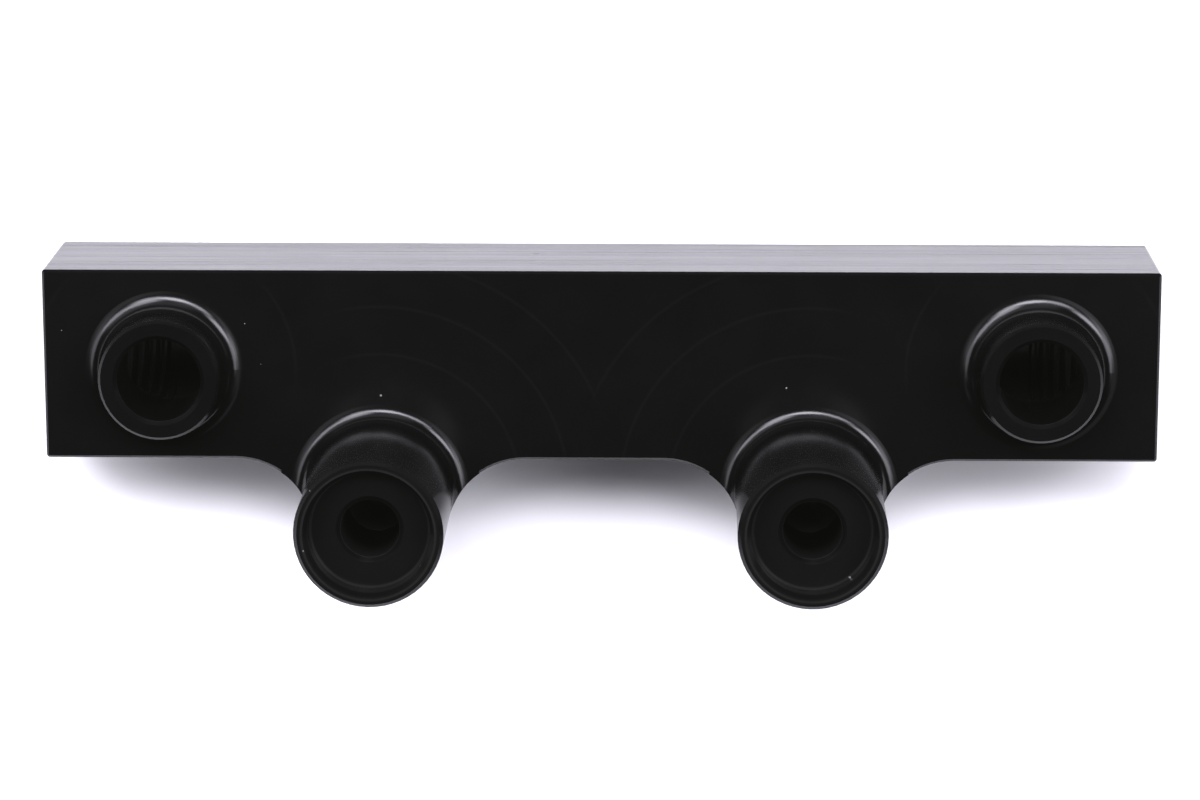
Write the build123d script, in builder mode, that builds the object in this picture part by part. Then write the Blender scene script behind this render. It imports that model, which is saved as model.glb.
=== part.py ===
from build123d import *
from math import cos, radians, sin, tan
import os

os.makedirs("parts", exist_ok=True)

# Frame: origin at the centre of the bar's back face, +X along the bar, +Z out of the front face
# and along every boss, and the two injector cups on the bar's -Y side. All sizes are in mm.

# Bar
BAR_LENGTH = 145.0
BAR_HEIGHT = 25.0
BAR_THICKNESS = 20.0
EDGE_BREAK = 0.3
CORNER_RADIUS = 0.4

# Injector cups
CUP_SPACING = 56.0
CUP_PAIR_X = -0.8
CUP_Y = -16.92
CUP_RADIUS = 9.5
CUP_HEIGHT = 22.85
CUP_ROOT_RADIUS = 2.2
CUP_TIP_CHAMFER = 0.45
LOBE_FILLET = 10.4
CUTTER_CLEAR_RADIUS = 13.25
COLLAR_SINK = 2.0

# Seal pocket and feed hole in each cup
POCKET_RADIUS = 7.8
POCKET_DEPTH = 3.05
POCKET_LEAD_IN_WIDTH = 0.55
POCKET_LEAD_IN_DEPTH = 1.2
FEED_RADIUS = 3.75
FEED_DEPTH = 14.0
FEED_CHAMFER = 0.6
DRILL_HALF_ANGLE = 59.0

# Sloping passage from each feed hole to the gallery
PASSAGE_RADIUS = 1.5
PASSAGE_TILT = 28.5
PASSAGE_START = 4.0
PASSAGE_LENGTH = 28.0

# End bosses
BOSS_X = 56.75
BOSS_Y = -0.6
BOSS_RADIUS = 7.85
BOSS_HEIGHT = 7.2
BOSS_ROOT_RADIUS = 2.5
BOSS_ROOT_CLEARANCE = 0.1
BOSS_RIM_CHAMFER = 0.35
BOSS_BORE_RADIUS = 5.4
BOSS_BORE_CHAMFER = 0.5

# Gallery and threaded end ports: each is drilled past the boss bore and tapped part of the way.
# The tapped length is open to the thread's major diameter, without its ridges.
GALLERY_Z = 10.0
GALLERY_RADIUS = 5.0
TAP_DRILL_RADIUS = 6.25
TAP_DRILL_DEPTH = 23.0
THREAD_RADIUS = 7.0
THREAD_DEPTH = 16.0
PORT_CHAMFER = 0.8

CUP_TOP = BAR_THICKNESS + CUP_HEIGHT
POCKET_FLOOR = CUP_TOP - POCKET_DEPTH
FEED_BOTTOM = POCKET_FLOOR - FEED_DEPTH
BOSS_TOP = BAR_THICKNESS + BOSS_HEIGHT
BOSS_EDGE_ROOM = BAR_HEIGHT / 2 - EDGE_BREAK - abs(BOSS_Y) - BOSS_RADIUS
CUP_XS = (CUP_PAIR_X - CUP_SPACING / 2, CUP_PAIR_X + CUP_SPACING / 2)
CUP_CENTRES = [(cup_x, CUP_Y) for cup_x in CUP_XS]
BOSS_CENTRES = [(-BOSS_X, BOSS_Y), (BOSS_X, BOSS_Y)]


def cup_section(cup_x):
    """Upright plane through a cup's axis: local x is the radius and local y the height."""
    return Plane(origin=(cup_x, CUP_Y, 0), x_dir=(1, 0, 0), z_dir=(0, -1, 0))


def cup_axis(cup_x):
    return Axis((cup_x, CUP_Y, 0), (0, 0, 1))


def arc_middle(centre_x, centre_y, radius, degrees):
    return (centre_x + radius * cos(radians(degrees)), centre_y + radius * sin(radians(degrees)))


# Plan of the bar: a rectangle and two round lobes, blended by hollow fillets on the -Y side.
with BuildSketch() as outline:
    Rectangle(BAR_LENGTH, BAR_HEIGHT)
    fillet(outline.vertices(), radius=CORNER_RADIUS)
    with Locations(*CUP_CENTRES):
        Circle(CUP_RADIUS)
    lobe_corners = outline.vertices().filter_by(
        lambda corner: abs(corner.Y + BAR_HEIGHT / 2) < 0.001
        and min(abs(corner.X - cup_x) for cup_x in CUP_XS) < CUP_RADIUS
    )
    fillet(lobe_corners, radius=LOBE_FILLET)

# The edge-break cutter stays clear of each cup, so the face edge near a cup is left square. The
# cup's root radius is turned about the cup's axis and ends at the lobe's outer wall.
with BuildPart() as collars:
    for cup_x in CUP_XS:
        with BuildSketch(cup_section(cup_x)):
            with BuildLine():
                root_x = CUP_RADIUS + CUP_ROOT_RADIUS
                root_y = BAR_THICKNESS + CUP_ROOT_RADIUS
                Polyline(
                    (CUP_RADIUS, root_y),
                    (0, root_y),
                    (0, BAR_THICKNESS - COLLAR_SINK),
                    (CUTTER_CLEAR_RADIUS, BAR_THICKNESS - COLLAR_SINK),
                    (CUTTER_CLEAR_RADIUS, BAR_THICKNESS),
                    (root_x, BAR_THICKNESS),
                )
                ThreePointArc(
                    (root_x, BAR_THICKNESS),
                    arc_middle(root_x, root_y, CUP_ROOT_RADIUS, 225),
                    (CUP_RADIUS, root_y),
                )
            make_face()
        revolve(axis=cup_axis(cup_x))
    with BuildSketch(Plane.XY):
        add(outline.sketch)
    extrude(amount=CUP_TOP, mode=Mode.INTERSECT)

with BuildPart() as rail_body:
    with BuildSketch(Plane.XY):
        add(outline.sketch)
    extrude(amount=BAR_THICKNESS)
    face_edges = rail_body.edges().filter_by(
        lambda edge: edge.bounding_box().size.Z < 0.001
    )
    chamfer(face_edges, length=EDGE_BREAK)
    add(collars.part)

    # End bosses
    with BuildSketch(Plane.XY.offset(BAR_THICKNESS)):
        with Locations(*BOSS_CENTRES):
            Circle(BOSS_RADIUS)
    extrude(amount=BOSS_HEIGHT)
    boss_circles = rail_body.edges().filter_by(GeomType.CIRCLE).filter_by(
        lambda edge: abs(edge.radius - BOSS_RADIUS) < 0.001 and edge.length > 6 * BOSS_RADIUS
    )
    # The root radius is limited by the face left between the boss and the bar's broken edge
    boss_root = min(BOSS_ROOT_RADIUS, BOSS_EDGE_ROOM - BOSS_ROOT_CLEARANCE)
    fillet(boss_circles.group_by(Axis.Z)[0], radius=boss_root)
    chamfer(boss_circles.group_by(Axis.Z)[-1], length=BOSS_RIM_CHAMFER)

    # Cup walls
    with BuildSketch(Plane.XY.offset(BAR_THICKNESS)):
        with Locations(*CUP_CENTRES):
            Circle(CUP_RADIUS)
    extrude(amount=CUP_HEIGHT)
    chamfer(rail_body.edges().group_by(Axis.Z)[-1], length=CUP_TIP_CHAMFER)

    # Gallery along the bar, with a threaded port at each end
    with BuildSketch(Plane.YZ.offset(-BAR_LENGTH / 2)):
        with Locations((0, GALLERY_Z)):
            Circle(GALLERY_RADIUS)
    extrude(amount=BAR_LENGTH, mode=Mode.SUBTRACT)
    cone_length = (TAP_DRILL_RADIUS - GALLERY_RADIUS) / tan(radians(DRILL_HALF_ANGLE))
    for side in (-1, 1):
        with BuildSketch(Plane(origin=(0, 0, GALLERY_Z), x_dir=(1, 0, 0), z_dir=(0, -1, 0))):
            with BuildLine():
                mouth = side * BAR_LENGTH / 2
                Polyline(
                    (mouth, 0),
                    (mouth, THREAD_RADIUS + PORT_CHAMFER),
                    (mouth - side * PORT_CHAMFER, THREAD_RADIUS),
                    (mouth - side * THREAD_DEPTH, THREAD_RADIUS),
                    (mouth - side * THREAD_DEPTH, TAP_DRILL_RADIUS),
                    (mouth - side * TAP_DRILL_DEPTH, TAP_DRILL_RADIUS),
                    (mouth - side * (TAP_DRILL_DEPTH + cone_length), GALLERY_RADIUS),
                    (mouth - side * (TAP_DRILL_DEPTH + cone_length), 0),
                    close=True,
                )
            make_face()
        revolve(axis=Axis((0, 0, GALLERY_Z), (1, 0, 0)), mode=Mode.SUBTRACT)

    # Boss bores, open into the ports
    with BuildSketch(Plane.XY.offset(BOSS_TOP)):
        with Locations(*BOSS_CENTRES):
            Circle(BOSS_BORE_RADIUS)
    extrude(amount=GALLERY_Z - BOSS_TOP, mode=Mode.SUBTRACT)
    bore_mouths = rail_body.edges().filter_by(GeomType.CIRCLE).filter_by(
        lambda edge: abs(edge.radius - BOSS_BORE_RADIUS) < 0.001
        and abs(edge.arc_center.Z - BOSS_TOP) < 0.001
    )
    chamfer(bore_mouths, length=BOSS_BORE_CHAMFER)

    # Seal pockets and feed holes
    for cup_x in CUP_XS:
        with BuildSketch(cup_section(cup_x)):
            with BuildLine():
                Polyline(
                    (POCKET_RADIUS, POCKET_FLOOR),
                    (POCKET_RADIUS, CUP_TOP - POCKET_LEAD_IN_DEPTH),
                    (POCKET_RADIUS + POCKET_LEAD_IN_WIDTH, CUP_TOP),
                    (0, CUP_TOP),
                    (0, FEED_BOTTOM - FEED_RADIUS / tan(radians(DRILL_HALF_ANGLE))),
                    (FEED_RADIUS, FEED_BOTTOM),
                    (FEED_RADIUS, POCKET_FLOOR - FEED_CHAMFER),
                    (FEED_RADIUS + FEED_CHAMFER, POCKET_FLOOR),
                    close=True,
                )
            make_face()
        revolve(axis=cup_axis(cup_x), mode=Mode.SUBTRACT)

    # Sloping passages, each drilled through its cup's mouth and feed hole down to the gallery
    for cup_x in CUP_XS:
        with BuildSketch(
            Plane(
                origin=(cup_x, CUP_Y, POCKET_FLOOR - PASSAGE_START),
                x_dir=(1, 0, 0),
                z_dir=(0, sin(radians(PASSAGE_TILT)), -cos(radians(PASSAGE_TILT))),
            )
        ):
            Circle(PASSAGE_RADIUS)
        extrude(amount=PASSAGE_LENGTH, mode=Mode.SUBTRACT)

rail_body.part.label = "rail_body"
export_step(rail_body.part, "parts/rail_body.step")
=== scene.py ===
"""Looks of the fuel rail: anodised finish, port threads, pale table, studio light and camera."""

import math

import bmesh
import bpy
from mathutils import Matrix, Vector


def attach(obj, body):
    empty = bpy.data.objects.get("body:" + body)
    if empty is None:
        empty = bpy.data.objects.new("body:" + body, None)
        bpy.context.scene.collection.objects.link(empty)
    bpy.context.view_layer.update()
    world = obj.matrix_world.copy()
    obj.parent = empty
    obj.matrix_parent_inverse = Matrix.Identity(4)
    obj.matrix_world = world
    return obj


MM = 0.001

# Places on the rail, in mm in the CAD frame
BAR_FRONT_Z = 20.0
LOBE_START_Y = -12.7
BOSS_X = 56.75
BOSS_Y = -0.6
BOSS_BORE_RADIUS = 5.4
CUP_X_LEFT = -28.8
CUP_X_RIGHT = 27.2
CUP_Y = -16.92
CUP_RADIUS = 9.5
CUP_FLOOR_Z = 39.8
RIM_EDGE_RADIUS = 8.45
POCKET_EDGE_RADIUS = 7.55
FEED_MOUTH_RADIUS = 4.35
FEED_CHAMFER = 0.6
GALLERY_Z = 10.0

# Port thread, M14 x 1.5: a helical ridge on the port's wall, sunk a little into it. A crest stands at
# CREST_LEFT or CREST_RIGHT at the port's lowest point.
THREAD_MAJOR_RADIUS = 7.02
THREAD_MINOR_RADIUS = 6.19
THREAD_PITCH = 1.5
THREAD_BASE_WIDTH = 1.31
THREAD_CREST_WIDTH = 0.37
THREAD_OUTER_END = 71.5
THREAD_INNER_END = 57.0
THREAD_FADE_TURNS = 0.4
THREAD_LEAST_HEIGHT = 0.02
THREAD_STEPS = 96
CREST_LEFT = -58.45
CREST_RIGHT = 58.95
BORE_CUTTER_TOP = 24.0
BORE_CUTTER_SIDES = 96

# Widths in mm over which a mask fades out past its edge
EDGE_FADE = 0.1
FRONT_FADE = (BAR_FRONT_Z + 0.05, BAR_FRONT_Z + 0.15)
FEED_FADE = 0.3
CUP_FADE = 0.5
LOBE_FADE = 1.0

# How much of a normal lies along an axis: a face square to the axis has more than the first pair, and
# a wall along it has less than the second
SQUARE_SHARE = (0.97, 0.995)
WALL_SHARE = (0.2, 0.6)

# Witness arcs that the cutter left on the front face, in mm: radii about the cups and the bosses, the
# stretch of x where the left cup's arcs give way to the right cup's, how far past its cup's axis an
# arc fades out, and where a boss's arc fades in beside the boss and up the face
CUP_ARC_RADII = (18.4, 24.7, 30.9)
BOSS_ARC_RADIUS = 17.1
ARC_HALF_WIDTH = 0.35
ARC_MIDDLE_X = (-2.0, 1.0)
CUP_ARC_END = (1.0, 9.0)
BOSS_ARC_BESIDE = (11.0, 15.0)
BOSS_ARC_Y = (-6.0, 3.0)
ARC_GAIN = 0.0015

# Grey levels of the finish: the dye on the outside; painted light on the cup ends and painted
# highlights at their edges; painted light in the feed holes from the mouth, fading to painted shade at
# the bottom; painted light in the ports
DYE = 0.0032
CUP_END_PAINTED_LIGHT = 0.0046
PAINTED_EDGE_HIGHLIGHT = 0.013
FEED_PAINTED_LIGHT = 0.011
FEED_PAINTED_SHADE = 0.0005
FEED_SHADE_DEPTH = 8.0
PORT_PAINTED_LIGHT = 0.011
DYE_TINT = (1.0, 1.02, 1.0)

# Satin of the finish: outside, on the bar's long sides and inside the holes
ROUGHNESS = 0.17
ROUGHNESS_SIDE = 0.25
ROUGHNESS_HOLE = 0.3
FINISH_IOR = 1.4

# Long cutter streaks on the bar's sides, soft cloudiness, and fine tool lines on the walls. A stretch
# is taken along x, y and z, and a noise is given as its scale per mm, detail and roughness.
STREAK_STRETCH = (0.012, 1.0, 1.6)
STREAK_NOISE = (1.0, 6.0, 0.7)
STREAK_GAIN = 0.35
CLOUD_NOISE = (0.12, 3.0, 0.6)
CLOUD_DYE_GAIN = 0.5
CLOUD_ROUGHNESS_GAIN = 0.05
LINE_STRETCH = (0.02, 0.02, 1.0)
LINE_NOISE = (4.0, 3.0, 0.6)
LINE_DEPTH_MM = 0.004
LINE_STRENGTH = 0.5
NOISE_MEAN = 0.5

# Lint on the front face, the cups and one side: x, y, z and radius in mm. A speck is whole within its
# core and gone past its reach, both as shares of its radius.
LINT = (
    (-28.6, -4.0, 20.0, 0.15),
    (24.2, -2.8, 20.0, 0.13),
    (-70.1, 4.5, 20.0, 0.07),
    (-46.2, 5.5, 20.0, 0.08),
    (-48.5, -4.4, 20.0, 0.07),
    (-44.2, 0.1, 20.0, 0.06),
    (-22.4, -21.3, 41.0, 0.17),
    (31.95, -22.9, 39.85, 0.17),
    (-37.0, -19.0, 42.85, 0.10),
    (-36.1, -11.2, 42.7, 0.10),
    (-8.7, 12.5, 7.6, 0.40),
)
LINT_CORE = 0.5
LINT_REACH = 1.2
LINT_GREY = 0.16
LINT_ROUGHNESS = 0.5

# Camera, placed in mm and turned in degrees, and the tone of the view
CAMERA_PLACE = (11.1, 120.3, 573.2)
CAMERA_TURN = (-12.71, 1.15, -0.02)
CAMERA_LENS = 130.7
CAMERA_SENSOR = 36.0
CAMERA_NEAR = 10.0
VIEW_GAMMA = 0.83
VIEW_VEIL = (0.007, 0.007, 0.006)

# Studio: rows of soft boxes. A row has its tilt off the zenith and its boxes' half width and half
# reach, all in degrees, and then the bearing and strength of each box.
SOFT_BOX_ROWS = (
    (15.0, 8.0, 8.0, ((0.0, 2.0), (180.0, 1.2))),
    (30.0, 8.0, 8.5, ((0.0, 6.0), (180.0, 2.0))),
    (30.0, 16.0, 8.5, ((315.0, 0.6),)),
    (31.0, 8.0, 7.5, ((60.0, 13.0), (90.0, 23.0), (120.0, 13.0))),
    (45.0, 11.0, 9.0, ((0.0, 7.0), (30.0, 15.0), (75.0, 1.5))),
    (45.0, 11.0, 9.0, ((120.0, 12.0), (150.0, 10.0), (180.0, 4.5))),
    (62.0, 20.0, 10.0, ((90.0, 1.2), (135.0, 1.7))),
)
SOFT_BOX_EDGE = 0.45
LIGHT_TINT = (0.98, 0.965, 1.06, 1.0)

# Low glow on the +Y side, by a direction's z and y, and the dim rest of the room
GLOW_STRENGTH = 0.46
GLOW_TOP_Z = 0.34
GLOW_EDGE_Y = (-0.1, 0.1)
ROOM_STRENGTH = 0.003

# Table, with its half size in metres
TABLE_HALF_SIZE = 3.0
TABLE_ALBEDO = 0.8


class Graph:
    """Short calls for building a node tree."""

    def __init__(self, tree):
        self.tree = tree
        self.links = tree.links
        tree.nodes.clear()

    def node(self, kind, **settings):
        made = self.tree.nodes.new(kind)
        for name, value in settings.items():
            setattr(made, name, value)
        return made

    def feed(self, socket, value):
        """Links a socket to the input, or sets a plain value on it."""
        if isinstance(value, bpy.types.NodeSocket):
            self.links.new(value, socket)
        else:
            socket.default_value = value

    def math(self, operation, *values, clamp=False):
        made = self.node("ShaderNodeMath", operation=operation, use_clamp=clamp)
        for socket, value in zip(made.inputs, values):
            self.feed(socket, value)
        return made.outputs[0]

    def vector(self, operation, *values):
        made = self.node("ShaderNodeVectorMath", operation=operation)
        for socket, value in zip(made.inputs, values):
            self.feed(socket, value)
        return made.outputs["Value" if operation in ("LENGTH", "DOT_PRODUCT") else "Vector"]

    def ramp(self, value, low, high, to_low=0.0, to_high=1.0):
        """Goes smoothly from to_low at low to to_high at high."""
        made = self.node("ShaderNodeMapRange", interpolation_type="SMOOTHSTEP")
        for socket, item in zip(made.inputs, (value, low, high, to_low, to_high)):
            self.feed(socket, item)
        return made.outputs[0]

    def fade(self, value, low, high):
        """1 up to low and 0 from high on."""
        return self.ramp(value, low, high, 1.0, 0.0)

    def split(self, vector):
        made = self.node("ShaderNodeSeparateXYZ")
        self.feed(made.inputs[0], vector)
        return made.outputs

    def noise(self, vector, scale, detail, roughness):
        made = self.node("ShaderNodeTexNoise")
        self.feed(made.inputs["Vector"], vector)
        made.inputs["Scale"].default_value = scale
        made.inputs["Detail"].default_value = detail
        made.inputs["Roughness"].default_value = roughness
        return made.outputs["Fac"]


def plan_distance(graph, place, x_mm, y_mm):
    """Distance in mm from an axis that stands at (x_mm, y_mm)."""
    shifted = graph.vector("SUBTRACT", place, (x_mm, y_mm, 0.0))
    flat = graph.vector("MULTIPLY", shifted, (1.0, 1.0, 0.0))
    return graph.vector("LENGTH", flat)


def arc_line(graph, distance, radius):
    """1 on a circle of that radius and 0 beyond the line's half width."""
    off = graph.math("ABSOLUTE", graph.math("SUBTRACT", distance, radius))
    return graph.fade(off, 0.0, ARC_HALF_WIDTH)


def cup_arcs(graph, place, x):
    """Faint circles about the cups, each on its own half of the bar."""
    right_half = graph.ramp(x, *ARC_MIDDLE_X)
    left_half = graph.math("SUBTRACT", 1.0, right_half)
    total = 0.0
    for cup_x, side, half in ((CUP_X_LEFT, -1.0, left_half), (CUP_X_RIGHT, 1.0, right_half)):
        outward = graph.math("MULTIPLY_ADD", x, side, -side * cup_x)
        share = graph.math("MULTIPLY", half, graph.fade(outward, *CUP_ARC_END))
        distance = plan_distance(graph, place, cup_x, CUP_Y)
        for radius in CUP_ARC_RADII:
            line = graph.math("MULTIPLY", arc_line(graph, distance, radius), share)
            total = graph.math("ADD", total, line)
    return total


def boss_arcs(graph, place, x, y):
    """One faint circle about each end boss, beside it and on the face's +Y part."""
    total = 0.0
    for boss_x in (-BOSS_X, BOSS_X):
        beside = graph.math("ABSOLUTE", graph.math("SUBTRACT", x, boss_x))
        share = graph.math("MULTIPLY", graph.ramp(beside, *BOSS_ARC_BESIDE), graph.ramp(y, *BOSS_ARC_Y))
        distance = plan_distance(graph, place, boss_x, BOSS_Y)
        line = graph.math("MULTIPLY", arc_line(graph, distance, BOSS_ARC_RADIUS), share)
        total = graph.math("ADD", total, line)
    return total


def in_feeds(graph, place, height):
    """1 inside the feed holes, below the chamfers at their mouths."""
    total = 0.0
    for cup_x in (CUP_X_LEFT, CUP_X_RIGHT):
        distance = plan_distance(graph, place, cup_x, CUP_Y)
        inside = graph.fade(distance, FEED_MOUTH_RADIUS - FEED_FADE, FEED_MOUTH_RADIUS)
        total = graph.math("ADD", total, inside)
    top = CUP_FLOOR_Z - FEED_CHAMFER
    return graph.math("MULTIPLY", total, graph.fade(height, top, top + EDGE_FADE))


def in_bores(graph, place):
    """1 inside the boss bores."""
    total = 0.0
    for boss_x in (-BOSS_X, BOSS_X):
        distance = plan_distance(graph, place, boss_x, BOSS_Y)
        inside = graph.fade(distance, BOSS_BORE_RADIUS, BOSS_BORE_RADIUS + EDGE_FADE)
        total = graph.math("MAXIMUM", total, inside)
    return total


def in_ports(graph, place):
    """1 inside the end ports and the gallery, threads included."""
    shifted = graph.vector("SUBTRACT", place, (0.0, 0.0, GALLERY_Z))
    flat = graph.vector("MULTIPLY", shifted, (0.0, 1.0, 1.0))
    from_axis = graph.vector("LENGTH", flat)
    return graph.fade(from_axis, THREAD_MAJOR_RADIUS, THREAD_MAJOR_RADIUS + EDGE_FADE)


def add_cup_end_painted_light(graph, place, height, dye_and_painted_light):
    """Adds painted light to the cup ends as a paler grey, with painted highlight rings at the pocket's
    floor and at the rim.
    """
    above = graph.ramp(height, CUP_FLOOR_Z - 2 * EDGE_FADE, CUP_FLOOR_Z - EDGE_FADE)
    for cup_x in (CUP_X_LEFT, CUP_X_RIGHT):
        distance = plan_distance(graph, place, cup_x, CUP_Y)
        near = graph.fade(distance, CUP_RADIUS, CUP_RADIUS + CUP_FADE)
        end = graph.math("MULTIPLY", near, above)
        # Painted light: the whole cup end is made paler, to brighten its rim and pocket floor
        dye_and_painted_light = graph.math("MULTIPLY_ADD", end, CUP_END_PAINTED_LIGHT - DYE, dye_and_painted_light)
        # Painted highlights: pale rings at the pocket floor's corner and at the rim's inner edge
        for radius in (POCKET_EDGE_RADIUS, RIM_EDGE_RADIUS):
            ring = graph.math("MULTIPLY", arc_line(graph, distance, radius), above)
            dye_and_painted_light = graph.math("MULTIPLY_ADD", ring, PAINTED_EDGE_HIGHLIGHT - CUP_END_PAINTED_LIGHT, dye_and_painted_light)
    return dye_and_painted_light


def lint_mask(graph, place):
    """1 on each speck of lint."""
    total = 0.0
    for x_mm, y_mm, z_mm, radius in LINT:
        shifted = graph.vector("SUBTRACT", place, (x_mm, y_mm, z_mm))
        distance = graph.vector("LENGTH", shifted)
        near = graph.fade(distance, radius * LINT_CORE, radius * LINT_REACH)
        total = graph.math("MAXIMUM", total, near)
    return total


def centred_noise(graph, vector, settings):
    """Noise about zero."""
    return graph.math("SUBTRACT", graph.noise(vector, *settings), NOISE_MEAN)


def finish_colour(graph, place, height, in_feed, in_port, arcs, clouds, lint):
    """The dye's grey with painted light and shade: paler in the holes and on the cup ends as painted
    light, painted highlight rings on the cup ends, painted shade deep in the feed holes; paler along
    the arcs, and the lint's.
    """
    # Painted light: the ports, the gallery and the threads are made paler to lift them out of their
    # darkness
    dye_and_painted_light = graph.math("MULTIPLY_ADD", in_port, PORT_PAINTED_LIGHT - DYE, DYE)
    # Painted light at the feed holes' mouths, fading to painted shade at their bottoms
    feed_bottom = CUP_FLOOR_Z - FEED_SHADE_DEPTH
    feed_light_and_shade = graph.ramp(height, feed_bottom, CUP_FLOOR_Z, FEED_PAINTED_SHADE - DYE, FEED_PAINTED_LIGHT - DYE)
    dye_and_painted_light = graph.math("MULTIPLY_ADD", in_feed, feed_light_and_shade, dye_and_painted_light)
    dye_and_painted_light = add_cup_end_painted_light(graph, place, height, dye_and_painted_light)
    dye_and_painted_light = graph.math("MULTIPLY", dye_and_painted_light, graph.math("MULTIPLY_ADD", clouds, CLOUD_DYE_GAIN, 1.0))
    dye_and_painted_light = graph.math("MULTIPLY_ADD", arcs, ARC_GAIN, dye_and_painted_light)
    grey = graph.math("MULTIPLY_ADD", lint, LINT_GREY, dye_and_painted_light)
    colour = graph.node("ShaderNodeCombineColor")
    for socket, share in zip(colour.inputs, DYE_TINT):
        graph.feed(socket, graph.math("MULTIPLY", grey, share))
    return colour.outputs[0]


def finish_roughness(graph, place, in_hole, on_side, clouds, lint):
    """The finish's satin, rougher in the holes and on the lint, and streaked on the bar's sides."""
    stretched = graph.vector("MULTIPLY", place, STREAK_STRETCH)
    streaks = graph.math("MULTIPLY", centred_noise(graph, stretched, STREAK_NOISE), on_side)
    rough = graph.math("MULTIPLY_ADD", in_hole, ROUGHNESS_HOLE - ROUGHNESS, ROUGHNESS)
    rough = graph.math("MULTIPLY_ADD", on_side, ROUGHNESS_SIDE - ROUGHNESS, rough)
    rough = graph.math("MULTIPLY_ADD", clouds, CLOUD_ROUGHNESS_GAIN, rough)
    rough = graph.math("MULTIPLY_ADD", streaks, STREAK_GAIN, rough)
    return graph.math("MULTIPLY_ADD", lint, LINT_ROUGHNESS, rough, clamp=True)


def tool_lines(graph, place, facing):
    """Normal bent by fine tool lines, round the turned walls and along the bar's sides."""
    lines = graph.noise(graph.vector("MULTIPLY", place, LINE_STRETCH), *LINE_NOISE)
    on_wall = graph.fade(graph.math("ABSOLUTE", facing[2]), *WALL_SHARE)
    bump = graph.node("ShaderNodeBump")
    bump.inputs["Strength"].default_value = LINE_STRENGTH
    bump.inputs["Distance"].default_value = LINE_DEPTH_MM * MM
    graph.feed(bump.inputs["Height"], graph.math("MULTIPLY", lines, on_wall))
    return bump.outputs[0]


def anodised_material(name):
    """Satin black anodised aluminium with cutter marks, painted light on the cup ends with painted
    highlight rings, painted light in the holes and some lint.
    """
    material = bpy.data.materials.new(name)
    material.use_nodes = True
    graph = Graph(material.node_tree)
    coordinates = graph.node("ShaderNodeTexCoord")
    place = graph.vector("MULTIPLY", coordinates.outputs["Object"], (1 / MM, 1 / MM, 1 / MM))
    x, y, z = graph.split(place)
    facing = graph.split(coordinates.outputs["Normal"])

    # Masks of where the surface lies
    on_bar = graph.fade(z, *FRONT_FADE)
    on_front = graph.math("MULTIPLY", graph.ramp(facing[2], *SQUARE_SHARE), on_bar)
    on_side = graph.ramp(graph.math("ABSOLUTE", facing[1]), *SQUARE_SHARE)
    on_side = graph.math("MULTIPLY", on_side, on_bar)
    on_side = graph.math("MULTIPLY", on_side, graph.ramp(y, LOBE_START_Y - LOBE_FADE, LOBE_START_Y))
    in_feed = in_feeds(graph, place, z)
    in_port = in_ports(graph, place)
    in_hole = graph.math("MAXIMUM", graph.math("MAXIMUM", in_feed, in_bores(graph, place)), in_port)
    lint = lint_mask(graph, place)
    arcs = graph.math("ADD", cup_arcs(graph, place, x), boss_arcs(graph, place, x, y))
    arcs = graph.math("MULTIPLY", arcs, on_front)
    clouds = centred_noise(graph, place, CLOUD_NOISE)

    shader = graph.node("ShaderNodeBsdfPrincipled")
    shader.inputs["IOR"].default_value = FINISH_IOR
    colour = finish_colour(graph, place, z, in_feed, in_port, arcs, clouds, lint)
    graph.feed(shader.inputs["Base Color"], colour)
    rough = finish_roughness(graph, place, in_hole, on_side, clouds, lint)
    graph.feed(shader.inputs["Roughness"], rough)
    graph.feed(shader.inputs["Normal"], tool_lines(graph, place, facing))
    output = graph.node("ShaderNodeOutputMaterial")
    graph.feed(output.inputs["Surface"], shader.outputs[0])
    return material


def thread_section(x_mm, angle, height):
    """The four corners of the ridge's section at one angle, as points in metres."""
    crest = THREAD_MAJOR_RADIUS - (THREAD_MAJOR_RADIUS - THREAD_MINOR_RADIUS) * height
    half_crest = THREAD_CREST_WIDTH / 2
    half_base = half_crest + (THREAD_BASE_WIDTH / 2 - half_crest) * height
    corners = (
        (-half_base, THREAD_MAJOR_RADIUS),
        (-half_crest, crest),
        (half_crest, crest),
        (half_base, THREAD_MAJOR_RADIUS),
    )
    return [
        Vector((x_mm + along, radius * math.cos(angle), GALLERY_Z + radius * math.sin(angle))) * MM
        for along, radius in corners
    ]


def thread_mesh(name, low_x, high_x, crest_x):
    """A right-hand helical ridge with runouts, with a crest at crest_x at the port's lowest point."""
    low_turn = (low_x - crest_x) / THREAD_PITCH
    high_turn = (high_x - crest_x) / THREAD_PITCH
    count = math.ceil((high_turn - low_turn) * THREAD_STEPS)
    shape = bmesh.new()
    rings = []
    for step in range(count + 1):
        turn = low_turn + (high_turn - low_turn) * step / count
        fade = min(1.0, (turn - low_turn) / THREAD_FADE_TURNS, (high_turn - turn) / THREAD_FADE_TURNS)
        angle = 2 * math.pi * turn - math.pi / 2
        height = max(fade, THREAD_LEAST_HEIGHT)
        points = thread_section(crest_x + turn * THREAD_PITCH, angle, height)
        rings.append([shape.verts.new(point) for point in points])
    for ring, following in zip(rings, rings[1:]):
        for corner in range(4):
            beside = (corner + 1) % 4
            shape.faces.new((ring[corner], ring[beside], following[beside], following[corner]))
    shape.faces.new(rings[0][::-1])
    shape.faces.new(rings[-1])
    bmesh.ops.recalc_face_normals(shape, faces=shape.faces)
    return finished_mesh(name, shape)


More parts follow.
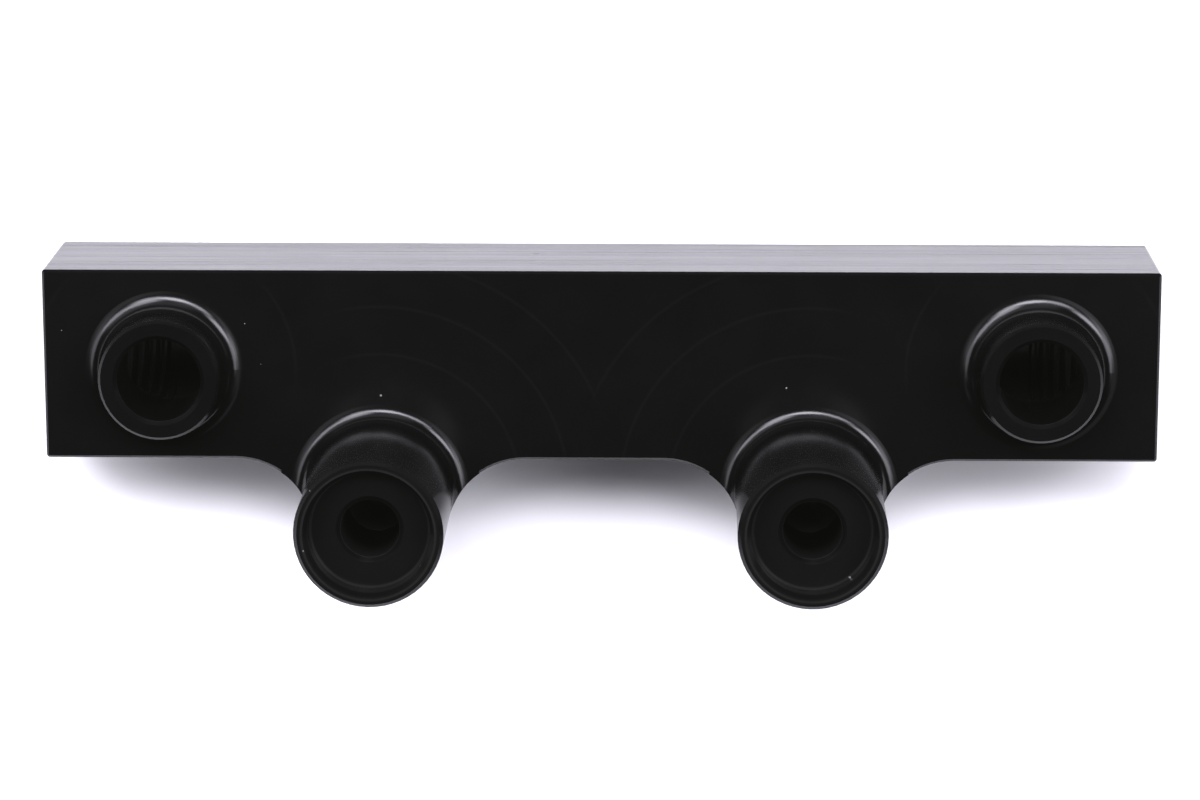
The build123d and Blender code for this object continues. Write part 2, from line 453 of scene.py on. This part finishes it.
def bore_cutter_mesh(side):
    """The cylinder of a boss bore, from the gallery's axis to above the front face."""
    length = BORE_CUTTER_TOP - GALLERY_Z
    shape = bmesh.new()
    bmesh.ops.create_cone(
        shape,
        cap_ends=True,
        segments=BORE_CUTTER_SIDES,
        radius1=BOSS_BORE_RADIUS * MM,
        radius2=BOSS_BORE_RADIUS * MM,
        depth=length * MM,
        matrix=Matrix.Translation(Vector((side * BOSS_X, BOSS_Y, GALLERY_Z + length / 2)) * MM),
    )
    return finished_mesh("bore_cutter", shape)


def finished_mesh(name, shape):
    mesh = bpy.data.meshes.new(name)
    shape.to_mesh(mesh)
    shape.free()
    return mesh


def place_object(name, data):
    placed = bpy.data.objects.new(name, data)
    bpy.context.scene.collection.objects.link(placed)
    return placed


def cut_at_bore(thread, side):
    """Takes away the part of the ridge that stands in the boss bore."""
    cutter = place_object("bore_cutter", bore_cutter_mesh(side))
    cut = thread.modifiers.new("bore", "BOOLEAN")
    cut.operation = "DIFFERENCE"
    cut.solver = "EXACT"
    cut.object = cutter
    depsgraph = bpy.context.evaluated_depsgraph_get()
    result = bpy.data.meshes.new_from_object(thread.evaluated_get(depsgraph))
    thread.modifiers.remove(cut)
    thread.data = result
    bpy.data.objects.remove(cutter)


def build_thread(name, side, crest_x, material):
    """The ridge of one end port: side is -1 for the left end and 1 for the right."""
    low_x, high_x = sorted((side * THREAD_INNER_END, side * THREAD_OUTER_END))
    mesh = thread_mesh(name, low_x, high_x, crest_x)
    mesh.materials.append(material)
    thread = place_object(name, mesh)
    cut_at_bore(thread, side)
    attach(thread, "root")


def table_material():
    material = bpy.data.materials.new("table_white")
    material.use_nodes = True
    graph = Graph(material.node_tree)
    shader = graph.node("ShaderNodeBsdfDiffuse")
    shader.inputs["Color"].default_value = (TABLE_ALBEDO, TABLE_ALBEDO, TABLE_ALBEDO, 1.0)
    output = graph.node("ShaderNodeOutputMaterial")
    graph.feed(output.inputs["Surface"], shader.outputs[0])
    return material


def build_table():
    mesh = bpy.data.meshes.new("table")
    half = TABLE_HALF_SIZE
    corners = [(-half, -half, 0), (half, -half, 0), (half, half, 0), (-half, half, 0)]
    mesh.from_pydata(corners, [], [(0, 1, 2, 3)])
    mesh.materials.append(table_material())
    place_object("table", mesh)


def soft_box(graph, direction, bearing, tilt, half_width, half_reach, strength):
    """Light from an oval patch of sky with faded edges."""
    turn = math.radians(bearing)
    lean = math.radians(tilt)
    across = Vector((-math.sin(turn), math.cos(turn), 0.0))
    level = Vector((math.cos(turn), math.sin(turn), 0.0))
    along = level * math.cos(lean) - Vector((0.0, 0.0, math.sin(lean)))
    width_share = graph.vector("DOT_PRODUCT", direction, across / math.sin(math.radians(half_width)))
    reach_share = graph.vector("DOT_PRODUCT", direction, along / math.sin(math.radians(half_reach)))
    square = graph.math("MULTIPLY", width_share, width_share)
    square = graph.math("MULTIPLY_ADD", reach_share, reach_share, square)
    inner = (1 - SOFT_BOX_EDGE) ** 2
    outer = (1 + SOFT_BOX_EDGE) ** 2
    return graph.ramp(square, inner, outer, strength, 0.0)


def build_sky():
    """A dim room with soft boxes overhead, and a low glow on the +Y side."""
    world = bpy.data.worlds.new("studio")
    world.use_nodes = True
    bpy.context.scene.world = world
    graph = Graph(world.node_tree)
    direction = graph.node("ShaderNodeTexCoord").outputs["Generated"]
    parts = graph.split(direction)
    glow = graph.ramp(parts[2], 0.0, GLOW_TOP_Z, GLOW_STRENGTH, 0.0)
    light = graph.math("MULTIPLY_ADD", glow, graph.ramp(parts[1], *GLOW_EDGE_Y), ROOM_STRENGTH)
    for tilt, half_width, half_reach, boxes in SOFT_BOX_ROWS:
        for bearing, strength in boxes:
            box = soft_box(graph, direction, bearing, tilt, half_width, half_reach, strength)
            light = graph.math("ADD", light, box)
    background = graph.node("ShaderNodeBackground")
    background.inputs["Color"].default_value = LIGHT_TINT
    graph.feed(background.inputs["Strength"], light)
    output = graph.node("ShaderNodeOutputWorld")
    graph.feed(output.inputs["Surface"], background.outputs[0])


def build_camera():
    data = bpy.data.cameras.new("camera")
    data.sensor_fit = "HORIZONTAL"
    data.sensor_width = CAMERA_SENSOR
    data.lens = CAMERA_LENS
    data.clip_start = CAMERA_NEAR * MM
    camera = place_object("camera", data)
    camera.location = [value * MM for value in CAMERA_PLACE]
    camera.rotation_euler = [math.radians(value) for value in CAMERA_TURN]
    bpy.context.scene.camera = camera


def set_view_tone():
    """Plain tone curve with a gamma and a slightly lifted black, as stray light gives in a lens."""
    view = bpy.context.scene.view_settings
    view.view_transform = "Standard"
    view.gamma = VIEW_GAMMA
    view.use_curve_mapping = True
    view.curve_mapping.black_level = [-level for level in VIEW_VEIL]
    view.curve_mapping.update()


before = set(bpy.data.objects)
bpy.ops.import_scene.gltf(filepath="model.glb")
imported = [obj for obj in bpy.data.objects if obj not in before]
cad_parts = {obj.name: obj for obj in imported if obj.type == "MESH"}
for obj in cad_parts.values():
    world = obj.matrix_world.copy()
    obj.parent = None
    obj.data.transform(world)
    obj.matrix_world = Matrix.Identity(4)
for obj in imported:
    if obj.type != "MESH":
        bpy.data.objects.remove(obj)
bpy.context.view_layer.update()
set_view_tone()
build_camera()
build_table()
build_sky()
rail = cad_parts["rail_body"]
finish = anodised_material("black_anodised")
rail.material_slots[0].material = finish
build_thread("port_thread_left", -1, CREST_LEFT, finish)
build_thread("port_thread_right", 1, CREST_RIGHT, finish)
